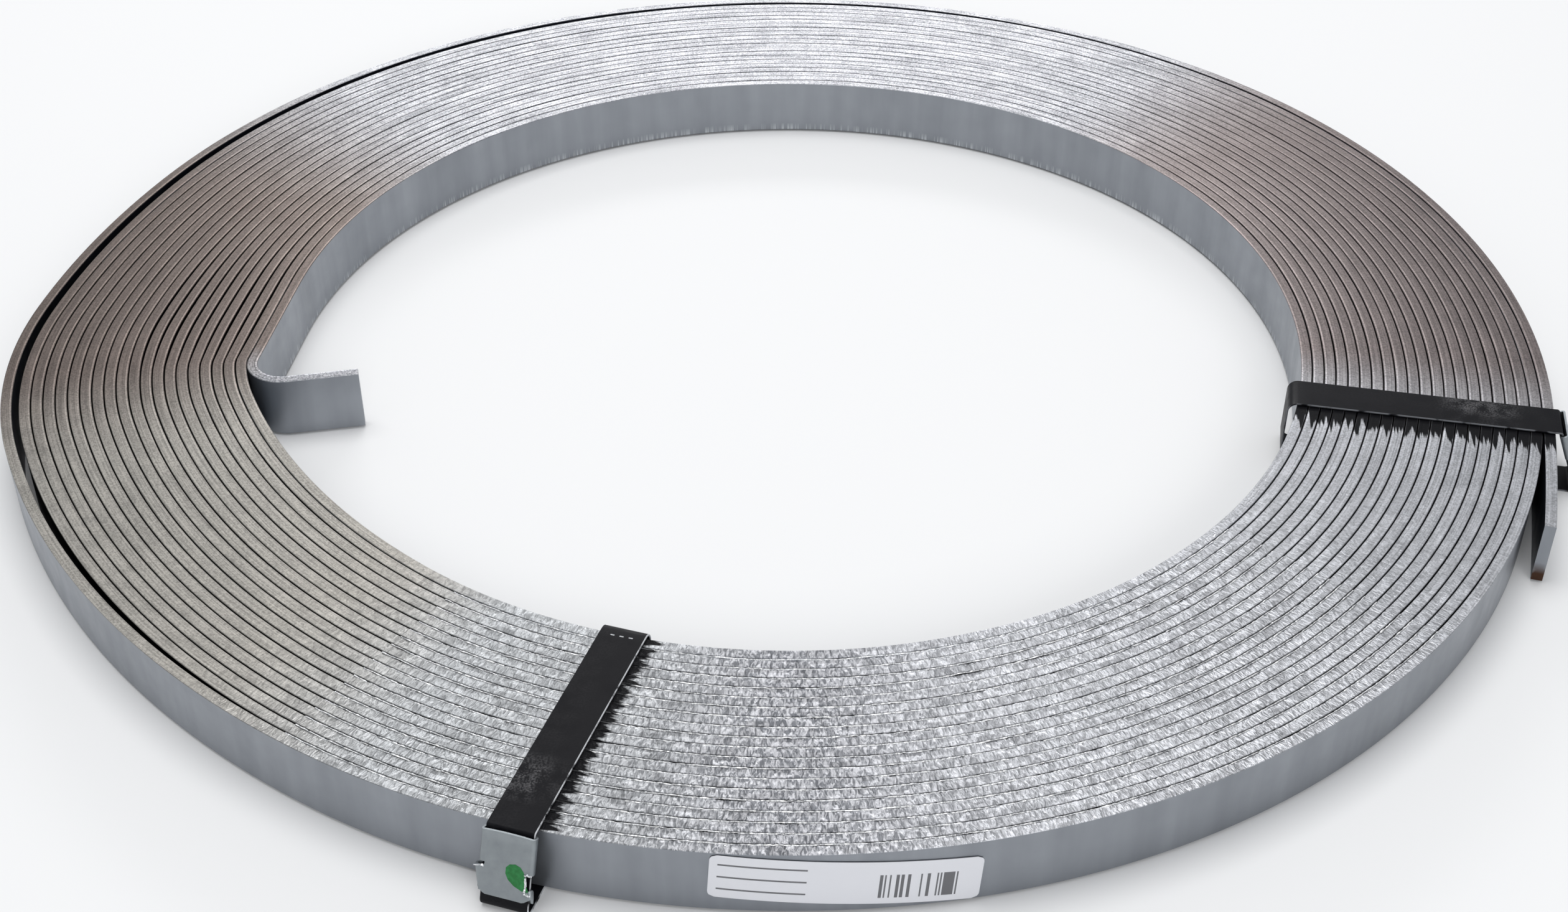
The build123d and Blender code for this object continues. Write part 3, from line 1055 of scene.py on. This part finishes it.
@dataclass
class Label:
    """The paper label on the outermost tight lap, a little askew."""

    radius: float
    middle_height: float
    length: float = 83.0
    height: float = 18.0
    thickness: float = 0.2
    clearance: float = 0.15
    angle: float = 266.6
    tilt: float = 3.9
    corner: float = 2.2
    columns: int = 60
    rows: int = 24

    def flat_points(self) -> list[tuple[float, float]]:
        """Points of the flat label, as along and up, row by row from the bottom."""
        points = []
        for j in range(self.rows + 1):
            up = (j / self.rows - 0.5) * self.height
            over = max(0.0, abs(up) - self.height / 2 + self.corner)
            half = self.length / 2 - self.corner + math.sqrt(max(0.0, self.corner ** 2 - over ** 2))
            points += [((i / self.columns - 0.5) * 2 * half, up) for i in range(self.columns + 1)]
        return points

    def build(self) -> None:
        """Make the label as a thin curved sheet with rounded corners."""
        sheet = bmesh.new()
        tilt = Matrix.Rotation(math.radians(-self.tilt), 4, "X")
        turn = Matrix.Rotation(math.radians(HALF_TURN - self.angle), 4, "Z")
        place = Matrix.Translation((0, 0, self.middle_height)) @ turn
        points = self.flat_points()
        back, front = [], []
        inner = self.radius + self.clearance
        for layer, radius in ((back, inner), (front, inner + self.thickness)):
            for along, up in points:
                flat = tilt @ Vector((0, along, up))
                bent = Vector((math.sqrt(radius ** 2 - flat.y ** 2), flat.y, flat.z))
                layer.append(sheet.verts.new(place @ bent * MM))
        wide = self.columns + 1
        for j in range(self.rows):
            for i in range(self.columns):
                first = j * wide + i
                corners = [first, first + 1, first + 1 + wide, first + wide]
                sheet.faces.new([front[k] for k in corners])
                sheet.faces.new([back[k] for k in reversed(corners)])
        last = self.rows * wide
        rim = [*range(self.columns), *range(self.columns, last + self.columns, wide)]
        rim += [*range(last + self.columns, last, -1), *range(last, 0, -wide)]
        for k, following in zip(rim, rim[1:] + rim[:1]):
            sheet.faces.new((front[following], front[k], back[k], back[following]))
        mesh = meshed("label", sheet, LabelPaper().build())
        for name, column in (("along", 0), ("up", 1)):
            values = [point[column] for point in points] * 2
            mesh.attributes.new(name, "FLOAT", "POINT").data.foreach_set("value", values)
        seat(shown("label", mesh), "label_paper", "paper_label")


class Window(NamedTuple):
    """A rectangle on a seal: across from left to right, and up the run from low to high."""

    left: float
    right: float
    low: float
    high: float

    def holds(self, across: float, up: float) -> bool:
        """Whether a place lies in the rectangle."""
        return self.left < across < self.right and self.low < up < self.high


@dataclass
class Seal:
    """A seal of bent sheet round a strap's leaning outer run, crimped with a notch in each side."""

    name: str
    node: str
    route: StrapRoute
    tab_out: float
    tab_up: float
    width: float = 17.9
    depth: float = 3.1
    foot: float = -9.6
    head: float = 11.6
    sheet: float = 0.75
    corner: float = 0.9
    columns: int = 18
    rows: int = 30
    slit: Window = Window(-99.0, -7.0, -0.3, 1.0)
    notch: Window = Window(6.9, 99.0, -6.2, -0.4)
    tab: Window = Window(-99.0, -5.0, -8.5, -0.2)
    flare: Window = Window(5.0, 99.0, -99.0, -6.0)
    lip_start: float = 8.0
    tear: RibbonSize = RibbonSize(0.6, 0.5, 0.1, ragged=0.6, ragged_length=0.7)

    def place(self) -> Matrix:
        """Matrix from the seal (across, up the run, outwards) to the coil's frame, in mm."""
        toe, shoulder = self.route.corners()[1:3]
        run = (toe - shoulder).normalized()
        toe_angle = math.atan2(shoulder.z - toe.z, toe.x - shoulder.x)
        toe_rounding, shoulder_rounding = self.route.roundings[1:3]
        slope = math.tan(toe_angle / 2)
        shift = (shoulder_rounding * slope - toe_rounding / slope) / 2
        across = Vector((0, 1, 0))
        own = Matrix((across, -run, run.cross(across))).transposed().to_4x4()
        own.translation = (toe + shoulder) / 2 + run * shift
        return self.route.place() @ own

    def section(self) -> list[Vector]:
        """Points round the middle of the sheet, with across in X and outwards in Z."""
        x, z = (self.width - self.sheet) / 2, (self.depth - self.sheet) / 2
        corners = [Vector((-x, 0, z)), Vector((x, 0, z)), Vector((x, 0, -z)), Vector((-x, 0, -z))]
        bends = rounded(corners, [self.corner] * 4, 4)
        points: list[Vector] = []
        for a, b in zip(bends, bends[1:] + bends[:1]):
            count = self.columns if (b - a).length > self.width / 2 else 1
            points += [a.lerp(b, k / count) for k in range(count)]
        return points

    def shaped(self, across: float, up: float, out: float) -> Vector:
        """Bend a point of the plain sleeve: arched lip, cut corners, flared tab and corner."""
        x, y, z = across, up, out
        if out > 0:
            bow = 1 - (across / self.width * 2) ** 2
            top = max(0.0, (up - self.lip_start) / 4)
            low = max(0.0, up / self.foot)
            y += 0.35 * bow * top + 0.9 * max(0.0, abs(across) - 6.4) * low * low
            z += 0.4 * top * top
        if self.tab.holds(across, up):
            bent = (up - self.tab.low) / (self.tab.high - self.tab.low)
            bent *= min(1.0, (self.tab.right - across) / 3)
            x -= self.tab_out * bent
            z += self.tab_up * bent
        if self.flare.holds(across, up):
            bent = min(1.0, (self.flare.high - up) / 2) * (across - self.flare.left) / 4
            x += 0.6 * bent
            z += 0.7 * bent
        return Vector((x, y, z))

    def build(self, finish: bpy.types.Material, bright: bpy.types.Material,
              tree: RibbonTree) -> None:
        """Make the sheet and its torn edges.

        Args:
            finish: Material of the sheet.
            bright: Material of the torn edges.
            tree: The tree that sweeps the torn edges.
        """
        place = self.place()
        section = self.section()
        sheet = bmesh.new()
        step = (self.head - self.foot) / self.rows
        grid = [[sheet.verts.new(place @ self.shaped(p.x, self.foot + step * j, p.z) * MM)
                 for p in section] for j in range(self.rows + 1)]
        for j in range(self.rows):
            up = self.foot + step * (j + 0.5)
            for i, point in enumerate(section):
                k = (i + 1) % len(section)
                across = (point.x + section[k].x) / 2
                if not self.slit.holds(across, up) and not self.notch.holds(across, up):
                    sheet.faces.new((grid[j][i], grid[j][k], grid[j + 1][k], grid[j + 1][i]))
        host = shown(f"{self.name}_sheet", meshed(self.name, sheet, finish))
        solid = host.modifiers.new("solid", "SOLIDIFY")
        solid.thickness = self.sheet * MM
        solid.offset = 0.0
        seat(baked(self.name, host), "seal_steel", self.node)
        # Torn edges: the tab's, the notch's upper, inner and lower one.
        torn = [[(-9.0 - self.tab_out, -0.7, 1.2 + self.tab_up), (-8.0, -0.2, 1.7),
                 (-6.9, -0.5, 1.7)],
                [(6.4, -0.3, 1.7), (7.4, -0.1, 1.8), (8.6, -0.5, 1.3)],
                [(6.6, -1.2, 1.6), (6.9, -3.4, 1.4), (6.8, -5.9, 1.7)],
                [(6.8, -6.3, 1.7), (7.9, -6.5, 1.9), (8.8, -6.9, 1.6)]]
        paths = []
        for ends in torn:
            start, middle, end = [place @ Vector(p) for p in ends]
            paths.append([start.lerp(middle, k / 6) for k in range(6)]
                         + [middle.lerp(end, k / 6) for k in range(7)])
        seat(tree.ribbon(f"{self.name}_torn_edges", paths, False, self.tear, bright), "seal_steel")

    def dab(self, outline: list[tuple[float, float]], finish: bpy.types.Material) -> None:
        """Make a dab of paint on the seal's outer face.

        Args:
            outline: Corners of the dab, as across and up the run, in millimetres.
            finish: The paint.
        """
        place = self.place()
        proud, thickness = 0.06, 0.12
        sheet = bmesh.new()
        rim = [sheet.verts.new(place @ Vector((x, y, self.depth / 2 + proud)) * MM)
               for x, y in outline]
        raised = bmesh.ops.extrude_face_region(sheet, geom=[sheet.faces.new(rim)])["geom"]
        lift = place.to_3x3() @ Vector((0, 0, -thickness)) * MM
        bmesh.ops.translate(sheet, vec=lift,
                            verts=[v for v in raised if isinstance(v, bmesh.types.BMVert)])
        seat(shown("paint_dab", meshed("paint_dab", sheet, finish)), "seal_steel")


@dataclass(frozen=True)
class CameraRig:
    """The camera, where the photographer stood: distance from the coil's axis at its underside."""

    focal: float = 48.6967
    sensor: float = 36.0
    distance: float = 882.489
    height_angle: float = 34.18318
    down: float = 36.67438
    pan: float = -0.169
    roll: float = 0.049135

    def build(self, underside: float) -> None:
        """Make the camera and use it.

        Args:
            underside: Height of the coil's underside in millimetres.
        """
        angles = (self.height_angle, self.down, self.pan, self.roll)
        height, down, pan, roll = [math.radians(a) for a in angles]
        place = Vector((0, -math.cos(height), math.sin(height))) * self.distance
        level = math.cos(down)
        forward = Vector((math.sin(pan) * level, math.cos(pan) * level, -math.sin(down)))
        right = Vector((math.cos(pan), -math.sin(pan), 0))
        up = right.cross(forward)
        turned_right = right * math.cos(roll) + up * math.sin(roll)
        turned_up = up * math.cos(roll) - right * math.sin(roll)
        camera = bpy.data.cameras.new("camera")
        camera.lens = self.focal
        camera.sensor_width = self.sensor
        matrix = Matrix((turned_right, turned_up, -forward)).transposed().to_4x4()
        matrix.translation = (place + Vector((0, 0, underside))) * MM
        rig = shown("camera", camera)
        rig.matrix_world = matrix
        bpy.context.scene.camera = rig


@dataclass(frozen=True)
class Lamp:
    """A soft rectangular lamp that faces the coil; places and sizes in metres."""

    name: str
    place: tuple[float, float, float]
    size: tuple[float, float]
    watts: float

    def build(self) -> None:
        """Make the lamp."""
        light = bpy.data.lights.new(self.name, "AREA")
        light.shape = "RECTANGLE"
        light.size, light.size_y = self.size
        light.energy = self.watts
        lamp = shown(self.name, light)
        lamp.location = self.place
        lamp.rotation_euler = (-Vector(self.place)).to_track_quat("-Z", "Y").to_euler()


class Studio:
    """Pale floor, even world light and soft lamps."""

    FLOOR_SIZE = 6.0
    WORLD = "#C8CACD"
    WORLD_STRENGTH = 0.75
    LAMPS = (
        Lamp("back_window", (-0.05, 2.2, 0.98), (1.5, 0.35), 11.5),
        Lamp("overhead", (-0.2, 0.3, 2.4), (1.8, 1.4), 29.5),
        Lamp("front_fill", (0.6, -2.2, 1.3), (1.4, 0.9), 15.0),
    )

    def build(self) -> None:
        """Make the floor, the world and the lamps."""
        half = self.FLOOR_SIZE / 2
        mesh = bpy.data.meshes.new("floor")
        corners = [(-half, -half, 0), (half, -half, 0), (half, half, 0), (-half, half, 0)]
        mesh.from_pydata(corners, [], [(0, 1, 2, 3)])
        mesh.materials.append(PaleFloor().build())
        floor = shown("floor", mesh)
        world = bpy.data.worlds.new("studio")
        world.use_nodes = True
        fill(world.node_tree, world.node_tree.nodes["Background"],
             {"Color": linear(self.WORLD), "Strength": self.WORLD_STRENGTH})
        bpy.context.scene.world = world
        for lamp in self.LAMPS:
            lamp.build()
        bpy.context.scene.view_settings.view_transform = "Standard"


def main() -> None:
    """Build every piece in order, then the studio."""
    logging.basicConfig(level=logging.INFO, format="%(message)s")
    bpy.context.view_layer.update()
    path = StripPath()
    front = StrapRoute(286.2, path.outer_radius, -1.5, path.bore_radius)
    right = StrapRoute(194.5, path.outer_radius + path.pitch, 3.3, path.bore_radius)
    CameraRig().build(front.underside)
    Coil(path, front.underside).build((StrapShade(front, 1.0, 4.5), StrapShade(right, -1.0, 11.0)))
    tree = RibbonTree(CurveNormal.CARRIED)
    paints = (BlackStrapping(scuff=(270.0, 286.0), bright_side=1.0, nicks=209.0, bare="#C9CBCE"),
              BlackStrapping(scuff=(262.0, 286.0), bright_side=-1.0, bare="#6E7074"))
    for name, route, paint in zip(("front", "right"), (front, right), paints):
        size = RibbonSize(route.width, route.thickness, 0.12)
        piece = tree.ribbon(f"{name}_strapping", [route.middle()], True, size, paint.build())
        seat(piece, "black_strapping", f"{name}_strap")
    sheet = SealSheet().build()
    torn = TornZinc().build()
    front_seal = Seal("front_sleeve", "front_seal", front, 1.2, 0.4)
    front_seal.build(sheet, torn, tree)
    front_seal.dab([(0.2, 0.8), (1.3, 2.0), (3.1, 2.4), (4.9, 1.8), (6.1, 0.3), (6.7, -1.7),
                    (7.1, -3.7), (8.2, -5.9), (5.9, -5.8), (3.2, -4.7), (1.2, -3.1), (0.2, -1.2)],
                   DabPaint().build())
    Seal("right_sleeve", "right_seal", right, 0.3, 2.6).build(sheet, torn, tree)
    Label(path.outer_radius, front.underside + front.strip_width / 2).build()
    Studio().build()


if __name__ == "__main__":
    main()
